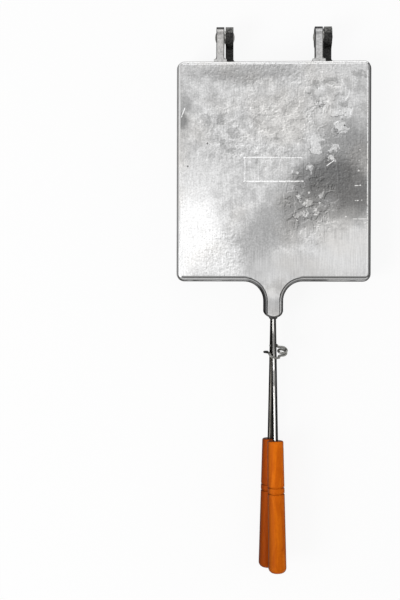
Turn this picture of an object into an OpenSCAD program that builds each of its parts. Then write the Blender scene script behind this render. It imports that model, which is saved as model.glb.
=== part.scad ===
// Hinged sandwich grill iron with two equal cast plates, long rod handles and a swinging wire latch.
// Lengths are in millimetres. The frame has X to the right, Y from the handles to the hinge and Z up.
// The origin is the middle of the lower plate's outer face, on which the closed iron rests.

/* [Plates] */
// Width of each plate at its rim
plate_width = 198.5; // [165:0.5:240]
// Length of each plate at its rim, from the handle side to the hinge side
plate_length = 225.5; // [185:0.5:270]
// Thickness of one plate, from its outer face to the plane between the plates
plate_thickness = 12; // [10:0.5:15]
// Corner radius of the plate at its rim
plate_corner_radius = 8; // [6:0.5:12]
// Lean of the cast side walls in degrees
side_draft = 13; // [8:0.5:15]
// Rounding of the edge round the outer face
face_edge_radius = 2.6; // [1.5:0.1:3]
// Gap between the two rims of the closed iron
rim_gap = 0.3; // [0.2:0.05:0.6]

/* [Pan] */
// Width of the flat rim round the pan
rim_width = 2; // [1.5:0.25:4]
// Depth of the pan under the rim
pan_depth = 7.2; // [5:0.2:7.6]
// Lean of the pan's walls in degrees
pan_draft = 16; // [8:1:20]
// Rounding between the pan's wall and its floor
pan_floor_radius = 2; // [1:0.25:2.5]
// Corner radius of the pan at the rim
pan_corner_radius = 7; // [6.5:0.5:10]
// Distance between neighbouring grill grooves
groove_pitch = 11.4; // [8:0.2:16]
// Width of a grill groove
groove_width = 2.2; // [1.4:0.1:3.2]
// Depth of a grill groove
groove_depth = 1.5; // [0.8:0.1:2]
// Least distance from the plate's side to the middle of the outermost groove
groove_side_margin = 13.5; // [12:0.5:24]
// Distance from the plate's hinge edge to the ends of the grooves
groove_hinge_margin = 23; // [16:1:40]
// Distance from the plate's handle edge to the ends of the grooves
groove_handle_margin = 26; // [16:1:40]
// Width of the small gussets inside the rim
gusset_width = 2.6; // [2:0.2:4]
// Reach of the small gussets over the pan's floor
gusset_reach = 4; // [3:0.5:6]

/* [Blank panel] */
// Width of the shallow blank panel in the outer face
panel_width = 60; // [30:1:90]
// Height of the shallow blank panel in the outer face
panel_height = 25; // [12:1:40]
// Depth of the shallow blank panel
panel_depth = 0.5; // [0.3:0.05:0.8]
// Offset of the panel from the plate's middle, towards the hinge
panel_offset = 1.1; // [-20:0.1:20]

/* [Hinge] */
// Distance between the middles of the two hinges
hinge_spacing = 100; // [70:1:120]
// Distance from the plate's hinge edge to the hinge axis
hinge_reach = 24.25; // [22:0.25:34]
// Width of a hinge lug along the axis
lug_width = 8; // [6:0.5:11]
// Height of the lugs' underside over the plate's outer face
lug_rise = 1.5; // [0.5:0.25:3]
// Gap between a lug's arm and the plane between the plates
lug_arm_gap = 0.4; // [0.3:0.05:0.8]
// Fillet between a lug's arm and its head
lug_arm_fillet = 4; // [2:0.5:6]
// Corner radius of a lug's free end, seen from above
lug_tip_radius = 2.4; // [1:0.1:3]
// Fillet at the root of a lug
lug_root_fillet = 2.5; // [1:0.5:4]
// Diameter of the hinge rivets
rivet_diameter = 6; // [4:0.5:8]
// Radial play of a rivet in the lugs
rivet_play = 0.05; // [0.02:0.01:0.1]
// Overhang of a rivet's low domed heads beyond its shank
rivet_head_overhang = 2; // [1.5:0.25:3]
// Height of a rivet's low domed heads
rivet_head_height = 1.2; // [0.8:0.1:2]
// Overhang of the washer between the lugs beyond the rivet's shank
washer_overhang = 3.5; // [2:0.25:4]
// Thickness of the washer between the lugs
washer_thickness = 1; // [0.8:0.1:1.6]
// Radial play of the washer on its rivet
washer_play = 0.2; // [0.1:0.05:0.4]
// Side play between the swinging lug and what lies beside it
hinge_side_play = 0.3; // [0.2:0.05:0.5]

/* [Neck] */
// Width of the neck at the plane between the plates
neck_width = 20.4; // [18:0.2:26]
// Length of the neck from the plate's edge
neck_length = 36.25; // [31:0.25:50]
// Corner radius of the neck's free end
neck_end_radius = 8.5; // [6:0.25:9]
// Radius of the flare between neck and plate
neck_flare_radius = 20; // [12:0.5:24]
// Length of the nose round the rod at the neck's end
nose_length = 2; // [1.5:0.25:6]
// Step from the neck's faces to the nose's root
nose_step = 0.8; // [0.5:0.1:1]
// Wall of the nose round the rod at its tip
nose_tip_wall = 0.8; // [0.6:0.1:1.6]

/* [Handle rods] */
// Diameter of the handle rods
rod_diameter = 5.5; // [5:0.25:7.25]
// Bare length of rod between neck and grip
rod_bare_length = 126; // [90:1:160]
// Length of rod that is cast into the neck
rod_anchor_length = 29; // [24:1:35]
// Length of rod inside the grip
rod_grip_length = 100; // [60:1:105]
// Sideways lean of each handle in degrees
handle_side_lean = 1.05; // [0.8:0.05:2]
// Gap between the ends of the two grips, which sets how far the handles lean apart
grip_gap = 1.4; // [1:0.1:4]
// Depth of the ring grooves that lock the rod in the casting
anchor_groove_depth = 0.8; // [0.4:0.1:1]
// Width of the ring grooves that lock the rod in the casting
anchor_groove_width = 3; // [2:0.5:4]
// Chamfer at the rod's ends
rod_end_chamfer = 0.8; // [0.4:0.1:1.2]

/* [Grips] */
// Length of a wooden grip
grip_length = 134; // [112:1:170]
// Diameter of a grip at the rod's end
grip_front_diameter = 16.4; // [13:0.2:20]
// Diameter of a grip near its far end
grip_rear_diameter = 18.4; // [15:0.2:22.2]
// Rounding of the grip's edge at the rod's end
grip_front_radius = 1.4; // [0.8:0.1:2.5]
// Rounding of the grip's far end
grip_rear_radius = 5.5; // [3:0.5:7]
// Distance from the rod's end of the grip to the first turned ring
grip_ring_start = 47; // [20:1:80]
// Distance between the two turned rings
grip_ring_pitch = 6.2; // [4:0.2:12]
// Radius of the turned ring grooves
grip_ring_radius = 0.8; // [0.5:0.1:1.2]

/* [Wire latch] */
// Diameter of the latch wire
wire_diameter = 2.4; // [2:0.1:2.9]
// Distance of the latch from the neck's end
latch_distance = 35; // [28:1:60]
// Play between the latch wire and the rods
latch_play = 0.5; // [0.4:0.05:0.8]
// Mean radius of the spring eye
eye_radius = 4.2; // [3.8:0.1:5]
// Gap between the rod and the spring eye
eye_clearance = 0.8; // [0.6:0.1:4]
// Gap between the turns of the spring eye
eye_gap = 0.7; // [0.6:0.05:1.2]
// Tilt of the spring eye against the rod in degrees
eye_tilt = 34; // [30:1:55]
// Distance between the two legs along the rod where they pass it
leg_spread = 13; // [10:0.5:16]
// Turn of the released latch from its hooked place in degrees
latch_release_angle = 13; // [12:0.5:24]

/* [Hidden] */
$fn = 96;
wire_sides = 10;
eye_steps_per_turn = 24;
spline_steps = 6;
weld = 1;
// Depth of the flares' turned wall, and how far the core between them overlaps it
flare_depth = 8;
flare_overlap = 1.5;
// Share of the edge's radius by which its rounding overlaps the flat face
edge_overlap = 0.25;
// How far a corner's rounding starts beyond the sides that it joins, so that it crosses them at an angle
corner_offset = 0.3;
// How far a lug's arm reaches into the plate's rim
lug_overlap = 6;

half_thickness = plate_thickness - rim_gap / 2;
pan_floor_height = half_thickness - pan_depth;
lug_head_radius = plate_thickness - lug_rise;
hinge_y = plate_length / 2 + hinge_reach;
lug_gap = washer_thickness + hinge_side_play;
lug_centre = lug_gap / 2 + lug_width / 2;
bore_radius = rivet_diameter / 2 + rivet_play;
neck_end_y = -plate_length / 2 - neck_length;
flare_x = neck_width / 2 + neck_flare_radius;
flare_y = -plate_length / 2 - neck_flare_radius;
rod_radius = rod_diameter / 2;
rod_height = plate_thickness / 2;
// The handles lean apart just so far that the ends of the grips clear each other
grip_end_shift = 2 * rod_bare_length * sin(handle_side_lean);
grip_end_rise = sqrt(pow(grip_front_diameter + grip_gap, 2) - pow(grip_end_shift, 2));
handle_depth_lean = asin((grip_end_rise / 2 - rod_height) / rod_bare_length);
groove_count = floor((plate_width - 2 * groove_side_margin) / groove_pitch) + 1;
groove_length = plate_length - groove_hinge_margin - groove_handle_margin;
wire_radius = wire_diameter / 2;
eye_distance = rod_radius + eye_clearance + wire_radius + eye_radius;
eye_pitch = wire_diameter + eye_gap;

// The lower rod's place as seen from the upper rod where the latch sits
rod_offset_side = 2 * latch_distance * tan(handle_side_lean);
rod_offset_down = 2 * (plate_thickness - rod_height) + 2 * latch_distance * tan(handle_depth_lean);
// Distance from a rod's axis to the middle of a wire that runs round it
wire_ring_radius = rod_radius + latch_play + wire_radius;

// Leaning wall with a rounded edge, from X zero out to its rim at the reach, with its face at Y zero. It is
// drawn from the rim and then moved, so that stretches of any reach have the same outline to the last digit.
module wall_profile(reach, height, draft, edge) {
    inset = (height - edge) * tan(draft) + edge / cos(draft);
    touch = [edge * cos(draft) - inset, edge - edge * sin(draft)];
    translate([reach, 0]) {
        polygon([[-reach, 0], [-inset, 0], [-inset, edge], touch, [0, height], [-reach, height]]);
        intersection() {
            translate([-inset, edge]) circle(r = edge);
            polygon([[-inset - edge_overlap * edge, edge], [-inset - edge_overlap * edge, -edge],
                [2 * edge - inset, -edge], [2 * edge - inset, edge]]);
        }
    }
}

module full_wall_profile(half, height, draft, edge) {
    wall_profile(half, height, draft, edge);
    mirror([1, 0]) wall_profile(half, height, draft, edge);
}

// Rounded block with leaning walls and a rounded edge round its face, which lies at Z zero
module drafted_pad(width, length, height, corner, draft, edge) {
    rotate([90, 0, 0])
        linear_extrude(length - 2 * corner, center = true)
            full_wall_profile(width / 2, height, draft, edge);
    rotate([90, 0, 90])
        linear_extrude(width - 2 * corner, center = true)
            full_wall_profile(length / 2, height, draft, edge);
    for (turn = [0 : 3]) {
        side = (turn == 0 || turn == 3) ? 1 : -1;
        end = turn < 2 ? 1 : -1;
        translate([side * (width / 2 - corner), end * (length / 2 - corner), 0])
            rotate([0, 0, 90 * turn])
                rotate_extrude(angle = 90)
                    wall_profile(corner, height, draft, edge);
    }
}

// Wall profile of the casting's outside, for a stretch that reaches this far in from the wall
module outside_profile(reach) {
    wall_profile(reach, half_thickness, side_draft, face_edge_radius);
}

// Straight stretch of outside wall along X, facing positive Y, from the plate's middle
module outside_run(from, to) {
    translate([from, 0, 0])
        rotate([90, 0, 90])
            linear_extrude(to - from)
                outside_profile(plate_length / 2);
}

// Quarter turn of outside wall, its middle at the origin and its faces towards positive X and Y
module outside_corner(radius) {
    rotate_extrude(angle = 90) outside_profile(radius);
}

// Hollow quarter turn that leads the plate's edge into the neck's right side
module neck_flare() {
    translate([flare_x, flare_y, 0])
        rotate([0, 0, 90])
            rotate_extrude(angle = 90)
                translate([neck_flare_radius + flare_depth, 0])
                    mirror([1, 0])
                        outside_profile(flare_depth);
}

// Core between the two flares, which overlaps both and ends inside the plate
module flare_core() {
    core_half = flare_x + flare_overlap;
    difference() {
        translate([-core_half, flare_y, 0])
            cube([2 * core_half, neck_flare_radius + flare_depth + weld, half_thickness]);
        for (side = [-1, 1])
            translate([side * flare_x, flare_y, -weld])
                cylinder(r = neck_flare_radius + flare_depth - flare_overlap, h = half_thickness + 2 * weld);
    }
}

// Plate without its pan: two straight stretches beside the neck, one at the hinge and the sides between
module plate_blank() {
    corner_x = plate_width / 2 - plate_corner_radius;
    corner_y = plate_length / 2 - plate_corner_radius;
    rotate([90, 0, 0])
        linear_extrude(2 * corner_y, center = true) {
            outside_profile(plate_width / 2);
            mirror([1, 0]) outside_profile(plate_width / 2);
        }
    outside_run(-corner_x, corner_x);
    mirror([0, 1, 0]) {
        outside_run(-corner_x, -flare_x);
        outside_run(flare_x, corner_x);
    }
    for (side = [0, 1], end = [0, 1])
        mirror([side, 0, 0])
            mirror([0, end, 0])
                translate([corner_x, corner_y, 0])
                    outside_corner(plate_corner_radius);
}

// What is cut away to round the corner of a block, which lies at the origin and fills negative X and Y
module corner_cut(radius, height) {
    middle = corner_offset - radius;
    linear_extrude(height)
        difference() {
            translate([middle, middle]) square(radius);
            translate([middle, middle]) circle(r = radius);
        }
}

module neck() {
    straight = flare_y - neck_end_y;
    difference() {
        translate([0, flare_y - straight / 2, 0])
            rotate([90, 0, 0])
                linear_extrude(straight, center = true) {
                    outside_profile(neck_width / 2);
                    mirror([1, 0]) outside_profile(neck_width / 2);
                }
        for (side = [0, 1])
            mirror([side, 0, 0])
                translate([neck_width / 2, neck_end_y, -weld])
                    mirror([0, 1, 0])
                        corner_cut(neck_end_radius, plate_thickness + 2 * weld);
    }
    flare_core();
    neck_flare();
    mirror([1, 0, 0]) neck_flare();
}

// Short cone of casting round the rod at the neck's end
module nose() {
    root_diameter = plate_thickness - 2 * nose_step;
    tip_diameter = rod_diameter + 2 * nose_tip_wall;
    rod_frame()
        translate([0, weld, 0])
            rotate([90, 0, 0])
                cylinder(d1 = root_diameter, d2 = tip_diameter, h = nose_length + weld);
}

// Side view of a lug without its bore, with X along the plate's Y and Y along Z, both from the hinge axis
module lug_profile() {
    arm_top = -lug_arm_gap;
    arm_length = hinge_reach + lug_overlap;
    fillet_rise = arm_top + lug_arm_fillet;
    fillet_back = -sqrt(pow(lug_head_radius + lug_arm_fillet, 2) - pow(fillet_rise, 2));
    circle(r = lug_head_radius);
    translate([-arm_length, -lug_head_radius]) square([arm_length, lug_head_radius + arm_top]);
    difference() {
        polygon([[fillet_back, arm_top - weld], [fillet_back, fillet_rise], [0, 0], [0, arm_top - weld]]);
        translate([fillet_back, fillet_rise]) circle(r = lug_arm_fillet);
    }
}

// One lug with its root fillets, to the right of its hinge's middle
module lug() {
    arm_bottom = plate_thickness - lug_head_radius;
    arm_height = lug_head_radius - lug_arm_gap;
    difference() {
        translate([-lug_width / 2, hinge_y, plate_thickness])
            rotate([90, 0, 90])
                linear_extrude(lug_width)
                    lug_profile();
        for (side = [0, 1])
            mirror([side, 0, 0])
                translate([lug_width / 2, hinge_y + lug_head_radius, 0])
                    corner_cut(lug_tip_radius, 2 * plate_thickness);
    }
    for (side = [0, 1])
        mirror([side, 0, 0])
            difference() {
                translate([lug_width / 2, plate_length / 2 - lug_overlap, arm_bottom])
                    cube([lug_root_fillet, lug_overlap + lug_root_fillet, arm_height]);
                translate([lug_width / 2 + lug_root_fillet, plate_length / 2 + lug_root_fillet, 0])
                    cylinder(r = lug_root_fillet, h = plate_thickness);
            }
}

// Bore for the rivets through both lugs of the casting
module hinge_bore() {
    translate([0, hinge_y, plate_thickness])
        rotate([0, 90, 0])
            cylinder(r = bore_radius, h = plate_width, center = true);
}

// Slot with round ends, cut into the pan's floor
module groove() {
    straight = groove_length - groove_width;
    translate([0, 0, pan_floor_height - groove_depth])
        linear_extrude(groove_depth + weld) {
            square([groove_width, straight], center = true);
            for (end = [-1, 1])
                translate([0, end * straight / 2]) circle(d = groove_width, $fn = 32);
        }
}

module grooves() {
    middle = (groove_handle_margin - groove_hinge_margin) / 2;
    for (i = [0 : groove_count - 1])
        translate([(i - (groove_count - 1) / 2) * groove_pitch, middle, 0])
            groove();
}

module pan_hollow() {
    translate([0, 0, pan_floor_height])
        drafted_pad(plate_width - 2 * rim_width, plate_length - 2 * rim_width, pan_depth,
            pan_corner_radius, pan_draft, pan_floor_radius);
    translate([0, 0, half_thickness])
        linear_extrude(weld)
            square([plate_width - 2 * rim_width - 2 * pan_corner_radius,
                plate_length - 2 * rim_width - 2 * pan_corner_radius], center = true);
}

// Small gusset from the rim to the pan's floor, reaching towards negative Y from the hinge side's rim
module gusset() {
    wall_foot = rim_width + pan_depth * tan(pan_draft) + pan_floor_radius;
    translate([-gusset_width / 2, plate_length / 2, 0])
        rotate([90, 0, 90])
            linear_extrude(gusset_width)
                polygon([[-rim_width / 2, half_thickness], [-rim_width, half_thickness],
                    [-wall_foot - gusset_reach, pan_floor_height],
                    [-wall_foot - gusset_reach, pan_floor_height - groove_depth],
                    [-rim_width / 2, pan_floor_height - groove_depth]]);
}

// Shallow panel with sloped sides, cut into the outer face
module blank_panel() {
    translate([0, panel_offset, 0])
        intersection() {
            rotate([90, 0, 0])
                linear_extrude(panel_height + 4 * panel_depth, center = true)
                    panel_profile(panel_width / 2);
            rotate([90, 0, 90])
                linear_extrude(panel_width + 4 * panel_depth, center = true)
                    panel_profile(panel_height / 2);
        }
}

module panel_profile(half) {
    polygon([[-half - panel_depth, -panel_depth], [half + panel_depth, -panel_depth],
        [half - panel_depth, panel_depth], [-half + panel_depth, panel_depth]]);
}

// One casting in its own frame: outer face at Z zero, rim upwards
module casting() {
    difference() {
        union() {
            plate_blank();
            neck();
            nose();
            for (side = [-1, 1])
                translate([side * hinge_spacing / 2 + lug_centre, 0, 0]) lug();
        }
        pan_hollow();
        grooves();
        blank_panel();
        hinge_bore();
        rod_frame() rod_solid();
    }
    for (side = [-1, 1])
        translate([side * hinge_spacing / 2 + lug_centre, 0, 0]) gusset();
    mirror([0, 1, 0]) gusset();
}

// Frame of a handle: its origin at the neck's end on the rod's axis, the rod along negative Y
module rod_frame() {
    translate([0, neck_end_y, rod_height])
        rotate([handle_depth_lean, 0, -handle_side_lean])
            children();
}

// Turned outline of the rod from its cast-in end to the end inside the grip
module rod_solid() {
    full = rod_anchor_length + rod_bare_length + rod_grip_length;
    translate([0, rod_anchor_length, 0])
        rotate([90, 0, 0])
            rotate_extrude()
                difference() {
                    polygon([[0, 0], [rod_radius - rod_end_chamfer, 0], [rod_radius, rod_end_chamfer],
                        [rod_radius, full - rod_end_chamfer], [rod_radius - rod_end_chamfer, full], [0, full]]);
                    for (i = [0 : 1])
                        translate([rod_radius - anchor_groove_depth, 4 + 2 * i * anchor_groove_width])
                            square([anchor_groove_depth + weld, anchor_groove_width]);
                }
}

// Turned wooden grip with its blind bore, from the rod's end along negative Y
module grip_solid() {
    front = grip_front_diameter / 2;
    rear = grip_rear_diameter / 2;
    translate([0, -rod_bare_length, 0])
        rotate([90, 0, 0])
            rotate_extrude()
                difference() {
                    union() {
                        polygon([[0, 0], [front - grip_front_radius, 0], [front, grip_front_radius],
                            [rear, grip_length - grip_rear_radius], [rear - grip_rear_radius, grip_length],
                            [0, grip_length]]);
                        translate([front - grip_front_radius, grip_front_radius]) circle(r = grip_front_radius);
                        translate([rear - grip_rear_radius, grip_length - grip_rear_radius])
                            intersection() {
                                circle(r = grip_rear_radius);
                                square(grip_rear_radius);
                            }
                    }
                    for (i = [0 : 1]) {
                        along = grip_ring_start + i * grip_ring_pitch;
                        surface = front + (rear - front) * along / grip_length;
                        translate([surface, along]) circle(r = grip_ring_radius, $fn = 32);
                    }
                    polygon([[0, -weld], [rod_radius, -weld], [rod_radius, rod_grip_length - rod_end_chamfer],
                        [rod_radius - rod_end_chamfer, rod_grip_length], [0, rod_grip_length]]);
                }
}

// Turns the lower half over to make the upper half, which has the same castings
module upper_half() {
    translate([0, 0, 2 * plate_thickness]) rotate([0, 180, 0]) children();
}

// Low dome on a flat base at Z zero
module rivet_head() {
    base = rivet_diameter / 2 + rivet_head_overhang;
    ball = (base * base + rivet_head_height * rivet_head_height) / (2 * rivet_head_height);
    rotate_extrude()
        intersection() {
            translate([0, rivet_head_height - ball]) circle(r = ball);
            square([base, rivet_head_height]);
        }
}

// Rivet of one hinge, along X through both lugs, from the hinge's middle
module hinge_rivet() {
    fixed_face = lug_gap / 2 + lug_width;
    free_face = -fixed_face - hinge_side_play;
    translate([free_face, 0, 0])
        rotate([0, 90, 0])
            cylinder(d = rivet_diameter, h = fixed_face - free_face);
    translate([fixed_face, 0, 0]) rotate([0, 90, 0]) rivet_head();
    translate([free_face, 0, 0]) rotate([0, -90, 0]) rivet_head();
}

// Washer between the two lugs of a hinge, against the lower plate's lug
module hinge_washer() {
    translate([lug_gap / 2 - washer_thickness, 0, 0])
        rotate([0, 90, 0])
            difference() {
                cylinder(d = rivet_diameter + 2 * washer_overhang, h = washer_thickness);
                translate([0, 0, -weld])
                    cylinder(r = rivet_diameter / 2 + washer_play, h = washer_thickness + 2 * weld);
            }
}

module at_hinge(side) {
    translate([side * hinge_spacing / 2, hinge_y, plate_thickness]) children();
}

// Points of a smooth curve that starts and ends at the first and last guide points
function spline(guides) = [
    for (i = [1 : len(guides) - 2])
        let (from = i == 1 ? guides[0] : (guides[i - 1] + guides[i]) / 2,
            to = i == len(guides) - 2 ? guides[i + 1] : (guides[i] + guides[i + 1]) / 2)
        for (k = [0 : spline_steps - 1])
            let (t = k / spline_steps)
            (1 - t) * (1 - t) * from + 2 * t * (1 - t) * guides[i] + t * t * to
];

// Point of the spring eye: turned by an angle round its own axis, which leans by the eye's tilt
function eye_point(angle, rise) = [
    eye_distance + eye_radius * cos(angle),
    -eye_radius * sin(angle) * sin(eye_tilt) - rise * cos(eye_tilt),
    eye_radius * sin(angle) * cos(eye_tilt) - rise * sin(eye_tilt)
];

// The eye turns once and a half, from the leg under the rod to the leg over it
eye_turns = 1.5;
eye_rise = eye_turns * eye_pitch;
eye_path = [
    for (k = [0 : eye_steps_per_turn * eye_turns])
        eye_point(-90 + 360 * k / eye_steps_per_turn, eye_rise * (k / (eye_steps_per_turn * eye_turns) - 0.5))
];
eye_start = eye_path[0];
eye_end = eye_path[len(eye_path) - 1];

// In the latch's frame Y runs along the rod towards the hinge and Z points up, with the hook closed
hook_side = -rod_offset_side - wire_ring_radius;
hook_depth = -rod_offset_down - wire_ring_radius;
hook_along = -1;

under_leg = spline([
    [-wire_ring_radius * 0.75, leg_spread / 2 - 1, -wire_ring_radius],
    [0, leg_spread / 2, -wire_ring_radius],
    [wire_ring_radius + 0.5, leg_spread / 2, -wire_ring_radius],
    [eye_distance - 2 * eye_radius * 0.6, eye_start[1], eye_start[2]],
    eye_start
]);
over_leg = concat(
    spline([
        eye_end,
        [eye_distance - 2 * eye_radius * 0.6, eye_end[1], eye_end[2]],
        [wire_ring_radius + 0.5, -leg_spread / 2, wire_ring_radius],
        [0, -leg_spread / 2, wire_ring_radius + 0.3],
        [-wire_ring_radius, -leg_spread / 2 + 1.5, wire_ring_radius],
        [hook_side, hook_along, wire_radius],
        [hook_side, hook_along, -rod_offset_down / 2],
        [hook_side, hook_along, -rod_offset_down],
        [hook_side, hook_along, hook_depth],
        [-rod_offset_side - rod_radius * 0.55, hook_along, hook_depth],
        [-rod_offset_side - rod_radius * 0.1, hook_along, hook_depth]
    ]),
    [[-rod_offset_side - rod_radius * 0.1, hook_along, hook_depth]]
);
wire_path = concat(under_leg, eye_path, [for (k = [1 : len(over_leg) - 1]) over_leg[k]]);

function unit(v) = v / norm(v);
function tangent(path, i) = unit(path[min(i + 1, len(path) - 1)] - path[max(i - 1, 0)]);
function across(v, along) = unit(v - (v * along) * along);

// Side directions carried along the path without twist
wire_sideways = [
    for (i = 0, side = across([0, 0, 1], tangent(wire_path, 0));
        i < len(wire_path);
        i = i + 1, side = i < len(wire_path) ? across(side, tangent(wire_path, i)) : side)
        side
];

// Least distance between stretches of wire that are not neighbours
neighbour_reach = 2.2 * wire_diameter;
function path_length(path, from, to) = from >= to ? 0
    : norm(path[from + 1] - path[from]) + path_length(path, from + 1, to);
function far_apart(i, j) = path_length(wire_path, i, j) > neighbour_reach;
wire_least_gap = min([
    for (i = [0 : len(wire_path) - 1])
        for (j = [i + 4 : 1 : len(wire_path) - 1])
            if (far_apart(i, j)) norm(wire_path[i] - wire_path[j])
]) - wire_diameter;

// Round wire along the path, as one unbroken tube with flat ends
module wire_tube() {
    count = len(wire_path);
    points = [
        for (i = [0 : count - 1])
            let (along = tangent(wire_path, i), side = wire_sideways[i], up = cross(along, side))
            for (k = [0 : wire_sides - 1])
                wire_path[i] + wire_radius * (cos(360 * k / wire_sides) * side + sin(360 * k / wire_sides) * up)
    ];
    skin = [
        for (i = [0 : count - 2])
            for (k = [0 : wire_sides - 1])
                let (a = i * wire_sides + k, b = i * wire_sides + (k + 1) % wire_sides)
                [a + wire_sides, b + wire_sides, b, a]
    ];
    start_cap = [for (k = [0 : wire_sides - 1]) k];
    end_cap = [for (k = [0 : wire_sides - 1]) count * wire_sides - 1 - k];
    polyhedron(points, concat(skin, [start_cap, end_cap]), convexity = 6);
}

// Frame of the latch on the upper rod: X to the right, Y towards the hinge, Z up
module latch_frame() {
    upper_half()
        rod_frame()
            translate([0, -latch_distance, 0])
                rotate([0, 180, 0])
                    children();
}

module bottom_plate() {
    color("silver") casting();
}

module top_plate() {
    color("silver") upper_half() casting();
}

module bottom_handle_rod() {
    color("gainsboro") rod_frame() rod_solid();
}

module top_handle_rod() {
    color("gainsboro") upper_half() rod_frame() rod_solid();
}

module bottom_grip() {
    color("peru") rod_frame() grip_solid();
}

module top_grip() {
    color("peru") upper_half() rod_frame() grip_solid();
}

module left_hinge_rivet() {
    color("lightgray") at_hinge(-1) hinge_rivet();
}

module right_hinge_rivet() {
    color("lightgray") at_hinge(1) hinge_rivet();
}

module left_hinge_washer() {
    color("darkgray") at_hinge(-1) hinge_washer();
}

module right_hinge_washer() {
    color("darkgray") at_hinge(1) hinge_washer();
}

module wire_latch() {
    echo(wire_least_gap = wire_least_gap);
    color("gray") latch_frame() rotate([0, latch_release_angle, 0]) wire_tube();
}

bottom_plate();
top_plate();
bottom_handle_rod();
top_handle_rod();
bottom_grip();
top_grip();
left_hinge_rivet();
right_hinge_rivet();
left_hinge_washer();
right_hinge_washer();
wire_latch();
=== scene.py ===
"""Looks of the hinged sandwich toasting iron: finishes, bent wire latch, floor, light and camera."""

import math

import bpy
from mathutils import Matrix, Vector


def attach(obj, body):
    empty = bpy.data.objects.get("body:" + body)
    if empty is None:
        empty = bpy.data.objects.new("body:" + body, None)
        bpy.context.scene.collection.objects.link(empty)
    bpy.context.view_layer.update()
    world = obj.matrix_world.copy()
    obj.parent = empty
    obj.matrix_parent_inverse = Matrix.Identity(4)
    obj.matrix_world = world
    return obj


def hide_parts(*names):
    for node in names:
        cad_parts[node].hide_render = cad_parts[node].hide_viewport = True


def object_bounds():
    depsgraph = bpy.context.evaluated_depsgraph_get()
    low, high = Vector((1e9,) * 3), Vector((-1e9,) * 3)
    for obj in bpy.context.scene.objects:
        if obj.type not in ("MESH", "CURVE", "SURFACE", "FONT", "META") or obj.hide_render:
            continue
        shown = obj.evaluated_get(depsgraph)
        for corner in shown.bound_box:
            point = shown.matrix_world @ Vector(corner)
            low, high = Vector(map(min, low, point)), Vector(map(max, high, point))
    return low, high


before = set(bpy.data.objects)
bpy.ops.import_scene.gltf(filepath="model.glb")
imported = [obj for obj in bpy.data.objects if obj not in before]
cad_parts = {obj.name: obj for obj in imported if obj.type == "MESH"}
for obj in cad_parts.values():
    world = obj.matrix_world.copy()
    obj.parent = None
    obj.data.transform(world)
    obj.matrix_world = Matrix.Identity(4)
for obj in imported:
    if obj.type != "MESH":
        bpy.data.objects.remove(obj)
cad_low, cad_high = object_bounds()

# Sizes of the iron in millimetres and degrees, as the castings, rods and grips have them
MM = 0.001
PLATE_WIDTH = 198.5
PLATE_LENGTH = 225.5
PLATE_THICKNESS = 12
PAN_DEPTH = 7.2
GROOVE_DEPTH = 1.5
RIM_WIDTH = 2
PANEL_WIDTH = 60
PANEL_HEIGHT = 25
PANEL_Y = 1.1
HINGE_Y = 137
HINGE_SPACING = 100
LUG_WIDTH = 8
LUG_OFFSET = 4.65
LUG_ROOT_Y = 109.5
NECK_WIDTH = 20.4
NECK_LENGTH = 36.25
NECK_END_RADIUS = 8.5
NECK_START_Y = -PLATE_LENGTH / 2
NECK_END_Y = NECK_START_Y - NECK_LENGTH
ROD_DIAMETER = 5.5
ROD_BARE_LENGTH = 126
HANDLE_SIDE_LEAN = 1.05
GRIP_FRONT_DIAMETER = 16.4
GRIP_GAP = 1.4

# Sizes of the wire latch in millimetres and degrees
WIRE_DIAMETER = 2.4
LATCH_DISTANCE = 35
LATCH_PLAY = 0.5
EYE_RADIUS = 4.2
EYE_CLEARANCE = 0.8
EYE_GAP = 0.7
EYE_TILT = 34
EYE_TURNS = 1.5
LEG_SPREAD = 13
LATCH_RELEASE_ANGLE = 13

# The photograph's frame and the viewpoint that fits it, in pixels, millimetres and degrees
PHOTO_HEIGHT = 600
FOCAL_PIXELS = 984.1
SENSOR_WIDTH = 36
CAMERA_AIM = Vector((-74.6, -131.8, 24))
CAMERA_DISTANCE = 1000
CAMERA_PAN = 2.18
CAMERA_TILT = -0.44
CAMERA_ROLL = 0.15


def rgb(red, green, blue):
    return (red, green, blue, 1.0)


WHITE = rgb(1.0, 1.0, 1.0)


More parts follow.
